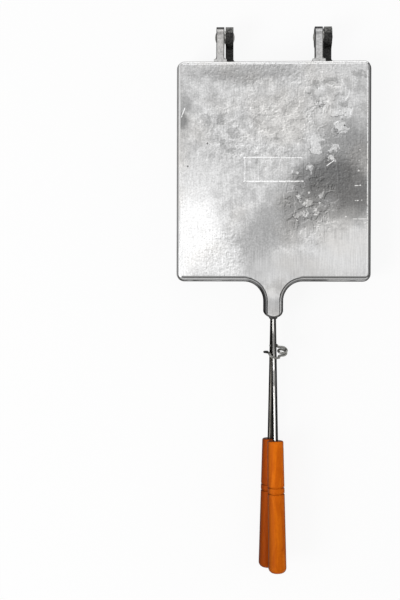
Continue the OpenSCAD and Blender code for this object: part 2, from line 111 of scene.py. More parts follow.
class Graph:
    """The nodes of a material or world. Every input may be a plain value or another node's output."""

    def __init__(self, tree):
        self.tree = tree

    def put(self, value, socket):
        if isinstance(value, bpy.types.NodeSocket):
            self.tree.links.new(value, socket)
        else:
            socket.default_value = value

    def node(self, kind, inputs=(), **settings):
        made = self.tree.nodes.new(kind)
        for name, value in settings.items():
            setattr(made, name, value)
        for name, value in dict(inputs).items():
            self.put(value, made.inputs[name])
        return made

    def math(self, operation, *values):
        return self.node("ShaderNodeMath", enumerate(values), operation=operation).outputs[0]

    def without(self, share):
        """What a share leaves of one."""
        return self.math("SUBTRACT", 1.0, share)

    def vector(self, operation, *values, scale=None):
        made = self.node("ShaderNodeVectorMath", enumerate(values), operation=operation)
        if scale is not None:
            self.put(scale, made.inputs["Scale"])
        is_number = operation in ("LENGTH", "DISTANCE", "DOT_PRODUCT")
        return made.outputs["Value" if is_number else "Vector"]

    def axes(self, vector):
        return self.node("ShaderNodeSeparateXYZ", {"Vector": vector}).outputs

    def between(self, value, low, high, to_low=0.0, to_high=1.0):
        """Runs smoothly from to_low to to_high while the value runs from low to high."""
        inputs = {"Value": value, "From Min": low, "From Max": high, "To Min": to_low, "To Max": to_high}
        return self.node("ShaderNodeMapRange", inputs, interpolation_type="SMOOTHSTEP").outputs["Result"]

    def noise(self, vector, scale, detail=3.0, roughness=0.5, distortion=0.0, output="Fac"):
        inputs = {
            "Vector": vector, "Scale": scale, "Detail": detail,
            "Roughness": roughness, "Distortion": distortion,
        }
        return self.node("ShaderNodeTexNoise", inputs).outputs[output]

    def mix(self, share, first, second, kind="RGBA"):
        """Runs from the first to the second as the share runs from zero to one."""
        made = self.node("ShaderNodeMix", data_type=kind)
        wanted = "VALUE" if kind == "FLOAT" else kind
        ends = [socket for socket in made.inputs if socket.type == wanted][-2:]
        self.put(share, made.inputs[0])
        for socket, value in zip(ends, (first, second)):
            self.put(value, socket)
        return next(socket for socket in made.outputs if socket.type == wanted)

    def blend(self, share, first, second):
        """Mixes plain numbers in the same way."""
        return self.mix(share, first, second, "FLOAT")

    def grey(self, value):
        return self.node("ShaderNodeCombineColor", {"Red": value, "Green": value, "Blue": value}).outputs[0]


class Surface(Graph):
    """A material on the iron, with the object's own place in millimetres and its own normal."""

    def __init__(self, name):
        self.material = bpy.data.materials.new(name)
        self.material.use_nodes = True
        super().__init__(self.material.node_tree)
        coordinates = self.node("ShaderNodeTexCoord").outputs
        self.normal = coordinates["Normal"]
        self.place = self.vector("SCALE", coordinates["Object"], scale=1 / MM)

    def finish(self, inputs, height, strength, distance):
        """Sets the shader's inputs and a relief of the given height, and returns the material."""
        bsdf = self.tree.nodes["Principled BSDF"]
        relief = {"Height": height, "Strength": strength, "Distance": distance}
        self.put(self.node("ShaderNodeBump", relief).outputs["Normal"], bsdf.inputs["Normal"])
        for name, value in inputs.items():
            self.put(value, bsdf.inputs[name])
        return self.material


# Castings: satin aluminium outside and a dark non-stick coating inside. The marks of each outer face are
# ovals given as middle x and y, half width and half length, and lines given as start, end and half width.
UPPER_FACE = {
    # Soft clouds, partly tarnish and partly painted reflection, each with its brightness and strength
    "clouds": [
        (-30, 98, 60, 10, 0.37, 0.8),
        (0, 104, 46, 6, 0.50, 0.6),
        (64, 99, 34, 9, 0.68, 0.7),
        (-94, 68, 8, 12, 0.34, 0.7),
        (-95, 46, 11, 14, 0.22, 0.85),
        (-76, -10, 30, 16, 0.80, 0.6),
        (-80, -62, 30, 44, 0.98, 0.95),
        (-92, -92, 18, 24, 0.95, 0.9),
        (-50, -94, 22, 22, 0.80, 0.8),
        (-20, -78, 24, 28, 0.40, 0.8),
        (2, -54, 28, 24, 0.36, 0.8),
        (12, -18, 18, 18, 0.42, 0.6),
        (26, -97, 46, 14, 0.58, 0.75),
        (76, -86, 36, 22, 0.72, 0.85),
        (76, 24, 40, 28, 0.28, 0.85),
        (34, -36, 30, 26, 0.24, 0.85),
        (34, -2, 16, 20, 0.24, 0.8),
        (78, -40, 30, 16, 0.27, 0.85),
        (62, -10, 38, 24, 0.15, 0.95),
        (86, -26, 22, 18, 0.18, 0.9),
        (0, -138, 20, 9, 0.46, 0.9),
    ],
    # Ragged flakes of bright metal in the oxide, duller islands, and dark blots
    "flakes": [
        (68, 58, 9, 4), (67, 42, 8, 5), (42, 26, 6, 9), (61, 22, 4, 4), (50, 70, 7, 5), (57, 12, 4, 3),
    ],
    "islands": [
        (48, -24, 3, 5), (34, -34, 5, 3), (29, -45, 5, 3), (43, -42, 4, 3), (25, -28, 4, 3), (36, 2, 3, 4),
    ],
    "blots": [
        (41, 88, 5, 4), (55, 90, 7, 4), (85, 97, 9, 3), (38, 76, 5, 5), (-18, 50, 4, 7), (-40, 38, 6, 4),
        (4, 36, 2, 6), (-55, 52, 3, 5), (-66, 50, 3, 7), (-52, 26, 4, 6), (-42, 20, 6, 3), (70, 68, 4, 5),
    ],
    # Small painted glints of light, and pits
    "glints": [
        (86.9, 20.1, 0.7, 0.7), (85.8, 9.5, 0.7, 0.7), (85.2, -0.7, 0.9, 0.9), (87.4, -15.5, 0.8, 0.8),
        (88.5, -30.7, 0.7, 0.7), (92.0, -53.3, 0.9, 0.9), (72.8, -47.1, 0.9, 0.7), (36.1, 3.4, 1.5, 1.2),
        (18.6, -1.4, 1.1, 1.2), (23.7, -3.0, 1.3, 1.5), (35.5, -22.9, 1.0, 1.3), (46.2, -33.2, 0.9, 1.0),
    ],
    "pits": [(-67.5, 27.2, 0.9, 1.1), (-87.3, 3.9, 0.9, 0.9)],
    # Areas of peeling film, each with its scale and strength; its edges get painted highlight and shade
    "films": [
        (50, 60, 42, 56, 0.07, 0.34),
        (38, -32, 34, 40, 0.13, 0.52),
        (-20, 42, 62, 46, 0.16, 0.26),
        (-52, -82, 30, 36, 0.26, 0.22),
        (-20, 98, 76, 14, 0.24, 0.26),
        (68, 2, 36, 30, 0.30, 0.24),
    ],
    # Smooth areas with little grain
    "satin": [(16, -104, 62, 20), (68, -82, 44, 34), (0, -126, 24, 22)],
    # Scratches, and painted highlight lines: the first three and the last two run along edges of the panel
    # and the face
    "scratches_and_highlights": [
        ((-30.4, -11.4), (29.4, -11.4), 0.9),
        ((-30.4, 13.0), (2, 13.0), 0.9),
        ((2, 13.0), (28, 12.6), 0.5),
        ((-90.5, 63), (-93.8, 54), 0.6),
        ((53.4, 4.4), (60.5, 9.5), 0.6),
        ((58.5, 83.6), (67.6, 83.8), 0.6),
        ((80, -49.5), (96, -49.5), 0.35),
        ((81, -16), (87, -15.6), 0.5),
        ((82, -31), (85, -31), 0.5),
        ((94.2, 100), (94.2, -104), 0.6),
        ((-92, 107.6), (92, 107.6), 0.9),
    ],
}
LOWER_FACE = {
    "clouds": [
        (40, 88, 52, 14, 0.42, 0.7),
        (82, 30, 20, 38, 0.84, 0.8),
        (-62, 22, 38, 40, 0.26, 0.8),
        (10, -30, 42, 26, 0.40, 0.7),
        (56, -78, 34, 26, 0.76, 0.7),
    ],
    "flakes": [(-50, 60, 9, 6), (-36, 44, 6, 8), (20, -64, 7, 5)],
    "islands": [(-44, 22, 4, 3), (12, -48, 5, 3)],
    "blots": [(-70, 84, 8, 4), (30, 30, 5, 7), (66, -20, 6, 4)],
    "glints": [(-80, 12, 0.8, 0.8), (44, -70, 1.2, 0.9)],
    "pits": [(52, 40, 1.0, 0.9)],
    "films": [(-40, 40, 50, 60, 0.07, 0.34), (40, -50, 50, 50, 0.16, 0.28)],
    "satin": [(-40, -88, 60, 30)],
    # Scratches, and painted highlight lines along edges of the panel (the last two)
    "scratches_and_highlights": [
        ((-60, -30), (-52, -36), 0.5),
        ((24, 60), (37, 66), 0.4),
        ((-29.4, -11.4), (30.4, -11.4), 0.7),
        ((-8, 13.0), (30.4, 13.0), 0.7),
    ],
}

# Brightness and strength of each kind of mark over the metal; shades are painted shade beside flakes and
# islands, glints painted highlights
MARK_LOOKS = {
    "flakes": (0.78, 0.6),
    "islands": (0.78, 0.38),
    "shades": (0.14, 0.7),
    "blots": (0.28, 0.5),
    "pits": (0.05, 0.8),
    "glints": (0.9, 0.6),
    "scratches_and_highlights": (1.0, 1.0),
}

# Where the edge of a mark starts to fade and where it ends, as shares of the mark's size
SOFT_EDGE = (0.4, 1.35)
SHARP_EDGE = (0.94, 1.06)
SCRATCH_CORE = 0.4

# Offsets in millimetres of the painted shade beside a flake and of the far edge of a peeling film, which
# gives its edges painted highlight and shade
SHADE_OFFSET = (0.9, 1.1, 0)
FILM_OFFSET = (0.9, -0.9, 0)

# Scattered pits: spacing in millimetres and the largest one's radius as a share of it
PIT_SPACING = 24
LARGEST_PIT = 0.042

# Share of the grain that the satin areas lose
SATIN_CALM = 0.75

# Painted highlight and shade on a casting's edge: its brightness on the right, hinge, left and handle
# sides, from the flat face outwards
PLATE_EDGE = {
    "crest": (0.22, 0.95, 0.95, 0.22),
    "rounding": (0.09, 0.42, 0.85, 0.55),
    "wall": (0.12, 0.35, 0.55, 0.7),
}
NECK_EDGE = {
    "crest": (0.12, 0.12, 0.03, 0.12),
    "rounding": (0.42, 0.4, 0.20, 0.4),
    "wall": (0.3, 0.3, 0.12, 0.2),
}

# How far up each part of the edge faces where it starts and where it is full
EDGE_SLOPES = {"crest": (0.996, 0.975), "rounding": (0.88, 0.78), "wall": (0.5, 0.3)}

# Half widths in millimetres of the neck's flare, full and faded, and where the flat face ends at the handle
NECK_REACH = (24, 30)
FACE_END_Y = -107.5

# A darker part of the walls: its middle x, its half width, full and faded, and the share of its brightness
# left there
DARKER_WALL_PATCH = (40, 10, 20)
DARKER_WALL_LIGHT = 0.35

# Brightness of the painted lines of shade along the handle's edge and round the neck's end, of the dark
# band near the parting plane, and of the coating where painted shade makes it nearly black
EDGE_LINE_LIGHT = 0.26
NECK_END_LIGHT = 0.08
PARTING_BAND_LIGHT = 0.05
DARK_COATING = 0.002

# What walls mirror at a slant on the right, hinge, left and handle sides, set side by side as painted
# shade, and what lugs mirror
WALL_SLANT = (0.2, 0.6, 0.25, 0.5)
LUG_SLANT = 0.1


def oval(surface, place, middle, half, inner, outer):
    """One inside an oval and nothing outside, fading from the inner to the outer share of its size."""
    offset = surface.vector("SUBTRACT", place, (*middle, 0))
    flat = surface.vector("MULTIPLY", offset, (1 / half[0], 1 / half[1], 0))
    return surface.between(surface.vector("LENGTH", flat), outer, inner)


def cloud(surface, place, shape):
    return oval(surface, place, shape[:2], shape[2:], *SOFT_EDGE)


def blobs(surface, place, shapes):
    """One on any of the sharp-edged ovals."""
    covered = 0.0
    for shape in shapes:
        blob = oval(surface, place, shape[:2], shape[2:], *SHARP_EDGE)
        covered = surface.math("MAXIMUM", covered, blob)
    return covered


def near(surface, value, target, inner, outer):
    """One where the value is within inner of the target, nothing beyond outer."""
    away = surface.math("ABSOLUTE", surface.math("SUBTRACT", value, target))
    return surface.between(away, outer, inner)


def scratch(surface, start, end, half_width):
    """Share of a thin straight mark from start to end."""
    along = Vector((end[0] - start[0], end[1] - start[1], 0))
    flat = surface.vector("MULTIPLY", surface.place, (1, 1, 0))
    offset = surface.vector("SUBTRACT", flat, (*start, 0))
    reach = surface.vector("DOT_PRODUCT", offset, along / along.length_squared)
    held = surface.math("MINIMUM", surface.math("MAXIMUM", reach, 0.0), 1.0)
    gap = surface.vector("DISTANCE", offset, surface.vector("SCALE", along, scale=held))
    return surface.between(gap, half_width, half_width * SCRATCH_CORE)


def astray(surface, place, scale, reach):
    """Place of a point after a random drift, which makes the outlines of marks ragged."""
    random_colour = surface.noise(place, scale, detail=4, roughness=0.6, output="Color")
    drift = surface.vector("SUBTRACT", random_colour, (0.5, 0.5, 0.5))
    return surface.vector("ADD", surface.place, surface.vector("SCALE", drift, scale=reach))


def peeling(surface, place, scale):
    """Painted highlight and shade on the two edges of a thin peeling film, from minus one to one."""
    def film(spot):
        cover = surface.noise(spot, scale, detail=5, roughness=0.6, distortion=0.4)
        return surface.between(cover, 0.5, 0.53)

    return surface.math("SUBTRACT", film(place), film(surface.vector("ADD", place, FILM_OFFSET)))


def marked(surface, brightness, kind, share):
    """Brightness with a kind of mark over a share of the surface."""
    light, strength = MARK_LOOKS[kind]
    return surface.blend(surface.math("MULTIPLY", share, strength), brightness, light)


def oxide_and_reflections(surface, brightness, marks, place, wandering):
    """Brightness with an outer face's clouds of tarnish and painted reflection, its flakes and blots, the
    painted shade beside flakes, and its peeling film with painted edges of light and shade.
    """
    for *shape, light, strength in marks["clouds"]:
        share = surface.math("MULTIPLY", cloud(surface, wandering, shape), strength)
        brightness = surface.blend(share, brightness, light)
    ragged = astray(surface, place, scale=0.14, reach=22)
    for kind in ("flakes", "islands"):
        # Flakes and islands, each with painted shade beside it
        flakes = blobs(surface, ragged, marks[kind])
        lee = blobs(surface, surface.vector("ADD", ragged, SHADE_OFFSET), marks[kind])
        shades = surface.math("MULTIPLY", surface.without(flakes), lee)
        brightness = marked(surface, brightness, kind, flakes)
        brightness = marked(surface, brightness, "shades", shades)
    brightness = marked(surface, brightness, "blots", blobs(surface, ragged, marks["blots"]))
    for *shape, scale, strength in marks["films"]:
        share = surface.math("MULTIPLY", cloud(surface, wandering, shape), strength)
        edges = surface.math("MULTIPLY", peeling(surface, place, scale), share)
        brightness = surface.math("MULTIPLY", brightness, surface.math("ADD", 1.0, edges))
    return brightness


def face_grain(surface, marks, place, wandering):
    """Grain of the cast metal, which is calm in the satin areas."""
    grain = surface.noise(place, scale=0.55, detail=5, roughness=0.7)
    satin = 0.0
    for shape in marks["satin"]:
        satin = surface.math("MAXIMUM", satin, cloud(surface, wandering, shape))
    return surface.blend(surface.math("MULTIPLY", satin, SATIN_CALM), grain, 0.5)


def face_pits(surface, marks, place):
    """One in the scattered pits and in those of the face's marks."""
    cell = surface.node("ShaderNodeTexVoronoi", {"Vector": place, "Scale": 1 / PIT_SPACING}).outputs
    pit_size = surface.between(surface.axes(cell["Color"])["X"], 0.4, 1.0, 0.0, LARGEST_PIT)
    scattered = surface.math("LESS_THAN", cell["Distance"], pit_size)
    return surface.math("MAXIMUM", scattered, blobs(surface, surface.place, marks["pits"]))


def face_brightness(surface, marks, place):
    """Brightness of an outer face, its mottling and its relief."""
    mottle = surface.noise(place, scale=0.09, detail=8, roughness=0.66)
    wandering = astray(surface, place, scale=0.04, reach=30)
    brightness = surface.between(mottle, 0.3, 0.7, 0.45, 0.75)
    brightness = oxide_and_reflections(surface, brightness, marks, place, wandering)

    # Fine brushing towards the hinge, grain, pits and painted glints of light
    brushed = surface.vector("MULTIPLY", place, (1.3, 0.04, 1))
    streaks = surface.noise(brushed, scale=1.0, detail=5, roughness=0.62)
    brightness = surface.math("MULTIPLY", brightness, surface.between(streaks, 0.25, 0.75, 0.86, 1.14))
    grain = face_grain(surface, marks, place, wandering)
    brightness = surface.math("MULTIPLY", brightness, surface.between(grain, 0.25, 0.75, 0.78, 1.22))
    pits = face_pits(surface, marks, place)
    brightness = marked(surface, brightness, "pits", pits)
    glints = blobs(surface, astray(surface, place, scale=0.6, reach=2), marks["glints"])
    brightness = marked(surface, brightness, "glints", glints)

    # Scratches and painted highlight lines, which the grain breaks up
    broken = surface.between(grain, 0.36, 0.5)
    for start, end, half_width in marks["scratches_and_highlights"]:
        share = surface.math("MULTIPLY", scratch(surface, start, end, half_width), broken)
        brightness = marked(surface, brightness, "scratches_and_highlights", share)
    return brightness, mottle, surface.math("SUBTRACT", grain, pits)


def by_side(surface, right, hinge, left, handle):
    """Value that follows the side of the casting to which a wall or edge faces."""
    level = surface.vector("MULTIPLY", surface.normal, (1, 1, 0))
    facing_x, facing_y = surface.axes(surface.vector("NORMALIZE", level))[:2]
    value = surface.blend(surface.between(facing_y, -0.3, 0.3), handle, hinge)
    value = surface.blend(surface.between(facing_x, 0.5, 0.85), value, right)
    return surface.blend(surface.between(facing_x, -0.5, -0.85), value, left)


def off_panel(surface):
    """One away from the sunken panel and nothing on it and just round it."""
    x, y = surface.axes(surface.place)[:2]
    in_width = near(surface, x, 0, PANEL_WIDTH / 2 + 3, PANEL_WIDTH / 2 + 5)
    in_height = near(surface, y, PANEL_Y, PANEL_HEIGHT / 2 + 3, PANEL_HEIGHT / 2 + 5)
    return surface.without(surface.math("MULTIPLY", in_width, in_height))


def edge_brightness(surface, brightness, outward, grain):
    """Brightness with painted highlight and shade, side by side, on the rounded edge and the drafted walls,
    and painted dark lines of shade along the handle's edge and round the neck's end.
    """
    x, y = surface.axes(surface.place)[:2]
    up = surface.math("MULTIPLY", surface.axes(surface.normal)["Z"], outward)
    by_neck = near(surface, x, 0, *NECK_REACH)
    on_neck = surface.math("MULTIPLY", by_neck, surface.between(y, FACE_END_Y, FACE_END_Y - 2.5))

    def light_of(part):
        on_plate = by_side(surface, *PLATE_EDGE[part])
        return surface.blend(on_neck, on_plate, by_side(surface, *NECK_EDGE[part]))

    # Painted shade as a dark line on the flat metal along the handle's edge, then painted highlight and
    # shade on the edge itself
    edge_line = surface.between(y, FACE_END_Y + 0.5, FACE_END_Y - 0.1)
    edge_line = surface.math("MULTIPLY", edge_line, surface.without(by_neck))
    brightness = surface.blend(edge_line, brightness, EDGE_LINE_LIGHT)
    for part in ("crest", "rounding"):
        share = surface.math("MULTIPLY", surface.between(up, *EDGE_SLOPES[part]), off_panel(surface))
        brightness = surface.blend(share, brightness, light_of(part))

    # Drafted walls, with painted highlight and shade side by side, darker in one part
    wall = surface.math("MULTIPLY", light_of("wall"), surface.between(grain, 0.2, 0.8, 0.8, 1.2))
    darker_part = near(surface, x, *DARKER_WALL_PATCH)
    wall = surface.math("MULTIPLY", wall, surface.between(darker_part, 0.0, 1.0, 1.0, DARKER_WALL_LIGHT))
    brightness = surface.blend(surface.between(up, *EDGE_SLOPES["wall"]), brightness, wall)

    # Painted shade as a dark line round the neck's end
    round_y = NECK_END_Y + NECK_END_RADIUS
    inside = oval(surface, surface.place, (0, round_y), (NECK_WIDTH / 2, NECK_END_RADIUS), 0.84, 0.92)
    end_line = surface.between(y, round_y - 0.5, round_y - 1.5)
    end_line = surface.math("MULTIPLY", end_line, surface.without(inside))
    return surface.blend(end_line, brightness, NECK_END_LIGHT)


def lug_zone(surface, outward):
    """Distance sideways from the middle between this casting's two lugs, and one on the lugs."""
    x, y = surface.axes(surface.place)[:2]
    across = surface.math("ABSOLUTE", surface.math("ADD", x, outward * LUG_OFFSET))
    beside = near(surface, across, HINGE_SPACING / 2, LUG_WIDTH - 1, LUG_WIDTH)
    return across, surface.math("MULTIPLY", surface.between(y, LUG_ROOT_Y, LUG_ROOT_Y + 1), beside)


def lug_brightness(surface, brightness, outward, grain):
    """Brightness with dull lugs that get painted shade towards their tips and on their rims."""
    y = surface.axes(surface.place)["Y"]
    across, on_lug = lug_zone(surface, outward)
    # Painted shade: darker towards the tip, and darkest on the rims
    light = surface.between(y, HINGE_Y, HINGE_Y + 8, 0.54, 0.34)
    light = surface.math("MULTIPLY", light, surface.between(grain, 0.2, 0.8, 0.65, 1.35))
    middle = near(surface, across, HINGE_SPACING / 2, LUG_WIDTH / 2 - 1.1, LUG_WIDTH / 2 - 0.3)
    tip = surface.between(y, HINGE_Y + 6, HINGE_Y + 7.5)
    rim_light = surface.between(y, LUG_ROOT_Y + 2, LUG_ROOT_Y + 5, 0.6, 0.05)
    on_rim = surface.math("MAXIMUM", surface.without(middle), tip)
    return surface.blend(on_lug, brightness, surface.blend(on_rim, light, rim_light))


def depth_from_parting(surface):
    """Distance in millimetres from the plane in which the two castings meet."""
    height = surface.axes(surface.place)["Z"]
    return surface.math("ABSOLUTE", surface.math("SUBTRACT", height, PLATE_THICKNESS))


def parting_band_share(surface, edge_noise):
    """One on the walls near the parting plane, on the right, on the handle's side and on the neck."""
    facing_x, facing_y = surface.axes(surface.normal)[:2]
    banded_side = surface.between(surface.math("SUBTRACT", facing_x, facing_y), -0.3, 0.4)
    y = surface.axes(surface.place)["Y"]
    on_neck = surface.between(y, NECK_START_Y - 2, NECK_START_Y - 8)
    reach = surface.between(edge_noise, 0.3, 0.7, 3.0, 6.0)
    reach = surface.math("MULTIPLY", reach, surface.math("MAXIMUM", banded_side, on_neck))
    return surface.between(surface.math("SUBTRACT", depth_from_parting(surface), reach), 0.6, -0.9)


def coating_share(surface, outward):
    """One on the coated inside of a casting and nothing on its bare outside."""
    facing_in = surface.math("MULTIPLY", surface.axes(surface.normal)["Z"], -outward)
    x, y = surface.axes(surface.place)[:2]
    half_width = PLATE_WIDTH / 2 - RIM_WIDTH
    half_length = PLATE_LENGTH / 2 - RIM_WIDTH
    in_width = near(surface, x, 0, half_width + 0.25, half_width + 0.35)
    in_length = near(surface, y, 0, half_length + 0.25, half_length + 0.35)
    in_depth = surface.math("LESS_THAN", depth_from_parting(surface), PAN_DEPTH + GROOVE_DEPTH + 0.6)
    in_pan = surface.math("MULTIPLY", surface.math("MULTIPLY", in_width, in_length), in_depth)
    return surface.math("MAXIMUM", surface.between(facing_in, 0.03, 0.2), in_pan)


def coating_colour(surface, place):
    """Colour and specks of the coating, which painted shade makes nearly black in grooves, on walls and on
    the rim.
    """
    specks = surface.noise(place, scale=1.6, detail=3, roughness=0.7)
    clouds = surface.noise(place, scale=0.025, detail=3)
    light = surface.between(clouds, 0.3, 0.7, 0.026, 0.066)
    light = surface.math("MULTIPLY", light, surface.between(specks, 0.3, 0.7, 0.75, 1.25))
    y = surface.axes(surface.place)["Y"]
    depth = depth_from_parting(surface)
    in_groove = surface.between(depth, PAN_DEPTH + 0.3, PAN_DEPTH + 0.7)
    level = surface.math("ABSOLUTE", surface.axes(surface.normal)["Z"])
    on_wall = surface.math("MULTIPLY", surface.between(level, 0.97, 0.8), 0.9)
    on_plate = near(surface, y, 0, PLATE_LENGTH / 2, PLATE_LENGTH / 2 + 1)
    on_rim = surface.math("MULTIPLY", surface.between(depth, 1.2, 0.6), on_plate)
    dark = surface.math("MAXIMUM", surface.math("MAXIMUM", in_groove, on_wall), on_rim)
    light = surface.blend(dark, light, DARK_COATING)

    # The lugs get a painted sheen: blotches, lighter at the tips
    painted_light = surface.between(y, HINGE_Y + 1, HINGE_Y + 4, 0.6, 2.6)
    blotches = surface.noise(place, scale=0.5, detail=4, roughness=0.7)
    blotches = surface.between(blotches, 0.35, 0.65, 0.004, 0.07)
    on_lugs = surface.between(y, LUG_ROOT_Y + 3, LUG_ROOT_Y + 4)
    light = surface.blend(on_lugs, light, surface.math("MULTIPLY", blotches, painted_light))
    tint = surface.mix(on_lugs, rgb(1.0, 0.87, 0.55), rgb(1.0, 1.0, 0.95))
    return surface.vector("SCALE", tint, scale=light), specks


def casting_material(name, outward, marks, seed):
    """Bare and coated metal of a casting whose outer face looks up (1) or down (-1)."""
    surface = Surface(name)
    place = surface.vector("ADD", surface.place, (seed, seed, 0))
    brightness, mottle, relief = face_brightness(surface, marks, place)
    brightness = edge_brightness(surface, brightness, outward, relief)
    brightness = lug_brightness(surface, brightness, outward, relief)
    # A darker band on the walls near the parting plane, where the castings meet
    brightness = surface.blend(parting_band_share(surface, mottle), brightness, PARTING_BAND_LIGHT)
    warm = surface.between(surface.noise(place, scale=0.02, detail=2), 0.45, 0.7, 0.0, 0.5)
    tint = surface.mix(warm, WHITE, rgb(1.0, 0.97, 0.93))
    metal_colour = surface.vector("SCALE", tint, scale=brightness)
    metal_rough = surface.between(mottle, 0.25, 0.75, 0.28, 0.40)
    coat_colour, specks = coating_colour(surface, place)
    coat_rough = surface.between(specks, 0.3, 0.7, 0.40, 0.52)

    # Walls and lugs seen at a slant stay dark: painted shade in what they mirror, set side by side
    steep = surface.between(surface.math("ABSOLUTE", surface.axes(surface.normal)["Z"]), 0.8, 0.4)
    on_lug = lug_zone(surface, outward)[1]
    slant = surface.blend(on_lug, by_side(surface, *WALL_SLANT), LUG_SLANT)
    coated = coating_share(surface, outward)
    inputs = {
        "Base Color": surface.mix(coated, metal_colour, coat_colour),
        "Metallic": surface.without(coated),
        "Roughness": surface.blend(coated, metal_rough, coat_rough),
        "Specular Tint": surface.mix(steep, WHITE, surface.grey(slant)),
        "Specular IOR Level": 0.25,
    }
    height = surface.blend(coated, relief, specks)
    return surface.finish(inputs, height, strength=0.12, distance=0.0004)


# Rods: brightness of the painted highlight stripe and of the painted shade on the flanks beside it, and the
# dull places near the latch, each with its middle y and its half length, full and faded
STRIPE_LIGHT = 0.98
FLANK_LIGHT = 0.03
DULL_PLACES = [(-176, 9, 16), (-211, 7, 9)]


def rod_material(name, tint, dull, dull_light):
    """Drawn steel rod with a painted highlight stripe and painted shade on its flanks, dull near the latch
    or throughout.
    """
    surface = Surface(name)
    drawn = surface.vector("MULTIPLY", surface.place, (1.6, 0.03, 1.6))
    streaks = surface.noise(drawn, scale=1.0, detail=4, roughness=0.6)
    spots = surface.noise(surface.place, scale=0.05, detail=5, roughness=0.6)
    across = surface.axes(surface.normal)["X"]
    stripe_and_flanks = surface.blend(near(surface, across, -0.16, 0.16, 0.42), FLANK_LIGHT, STRIPE_LIGHT)
    dull_tone = surface.between(spots, 0.35, 0.65, 0.75 * dull_light, 1.25 * dull_light)
    dull_tone = surface.blend(near(surface, across, -0.1, 0.12, 0.7), FLANK_LIGHT, dull_tone)
    dull_share = dull
    for dull_place in DULL_PLACES:
        in_place = near(surface, surface.axes(surface.place)["Y"], *dull_place)
        dull_share = surface.math("MAXIMUM", in_place, dull_share)
    tone = surface.blend(dull_share, stripe_and_flanks, dull_tone)

    # Painted shade on the left flank
    tone = surface.math("MULTIPLY", tone, surface.between(across, -0.22, -0.45, 1.0, 0.3))
    tone = surface.math("MULTIPLY", tone, surface.between(streaks, 0.25, 0.75, 0.75, 1.15))
    inputs = {
        "Base Color": surface.vector("SCALE", tint, scale=tone),
        "Metallic": 1.0,
        "Roughness": surface.between(streaks, 0.3, 0.7, 0.22, 0.34),
        "Specular Tint": rgb(0.1, 0.1, 0.1),
    }
    return surface.finish(inputs, streaks, strength=0.08, distance=0.0002)


# Grips: colour of the pores, and the stretch in millimetres over which the wood grows darker
PORE_COLOUR = rgb(0.24, 0.045, 0.002)
DARKER_START_Y = -290
DARKER_END_Y = -400


def wood_material(name, light, dark, seed):
    """Stained wood with its grain along the grip."""
    surface = Surface(name)
    place = surface.vector("ADD", surface.place, (seed, seed, seed))
    sway = surface.noise(place, scale=0.02, detail=2, output="Color")
    swayed = surface.vector("ADD", place, surface.vector("SCALE", sway, scale=14))
    along_grain = surface.vector("MULTIPLY", swayed, (0.32, 0.014, 0.32))
    fibres = surface.noise(along_grain, scale=1.0, detail=5, roughness=0.55, distortion=0.4)
    along_pores = surface.vector("MULTIPLY", place, (2.6, 0.1, 2.6))
    pores = surface.noise(along_pores, scale=1.0, detail=3, roughness=0.6)
    speckle = surface.noise(place, scale=0.5, detail=4, roughness=0.6)
    colour = surface.mix(surface.between(fibres, 0.25, 0.75), rgb(*dark), rgb(*light))
    colour = surface.mix(surface.between(speckle, 0.4, 0.7, 0.0, 0.3), colour, rgb(*dark))
    colour = surface.mix(surface.between(pores, 0.58, 0.72, 0.0, 0.2), colour, PORE_COLOUR)

    # Painted shade, lighter to the right: darker on the left and most of all on the flanks. The wood is
    # also darker towards the free end
    facing = surface.axes(surface.normal)
    level = surface.math("ABSOLUTE", facing["Z"])
    painted_light = surface.math("MULTIPLY_ADD", facing["X"], 0.45, level)
    shade = surface.between(painted_light, 0.1, 0.95, 0.58, 1.0)
    along = surface.between(surface.axes(surface.place)["Y"], DARKER_START_Y, DARKER_END_Y, 1.08, 0.88)
    flank = surface.between(level, 0.1, 0.75, 0.28, 1.0)
    shade = surface.math("MULTIPLY", surface.math("MULTIPLY", shade, along), flank)
    inputs = {
        "Base Color": surface.vector("SCALE", colour, scale=shade),
        "Roughness": surface.between(pores, 0.3, 0.7, 0.42, 0.52),
        "Specular IOR Level": 0.03,
        "Coat Weight": 0.02,
        "Coat Roughness": 0.2,
        "Coat IOR": 1.15,
    }
    return surface.finish(inputs, pores, strength=0.06, distance=0.0002)


# Small steel pieces: colour of painted shade on the left of a piece, and the width in millimetres over
# which it fades in
PAINTED_SHADE_COLOUR = rgb(0.03, 0.03, 0.028)
PAINTED_SHADE_FADE = 3


def small_steel_material(name, dark, light, roughness, shaded_left_of=None):
    """Plain worn steel, with painted shade on the left of a given place."""
    surface = Surface(name)
    wear = surface.noise(surface.place, scale=0.9, detail=5, roughness=0.65)
    fine = surface.noise(surface.place, scale=4.0, detail=3, roughness=0.6)
    colour = surface.mix(surface.between(wear, 0.35, 0.65), rgb(*dark), rgb(*light))
    if shaded_left_of is not None:
        x = surface.axes(surface.place)["X"]
        left_shade = surface.between(x, shaded_left_of, shaded_left_of - PAINTED_SHADE_FADE)
        colour = surface.mix(left_shade, colour, PAINTED_SHADE_COLOUR)
    inputs = {
        "Base Color": colour,
        "Metallic": 1.0,
        "Roughness": surface.between(fine, 0.3, 0.7, roughness, roughness + 0.14),
        "Specular Tint": rgb(0.4, 0.4, 0.4),
    }
    return surface.finish(inputs, fine, strength=0.1, distance=0.0001)


def paint(piece, material):
    piece.data.materials.clear()
    piece.data.materials.append(material)


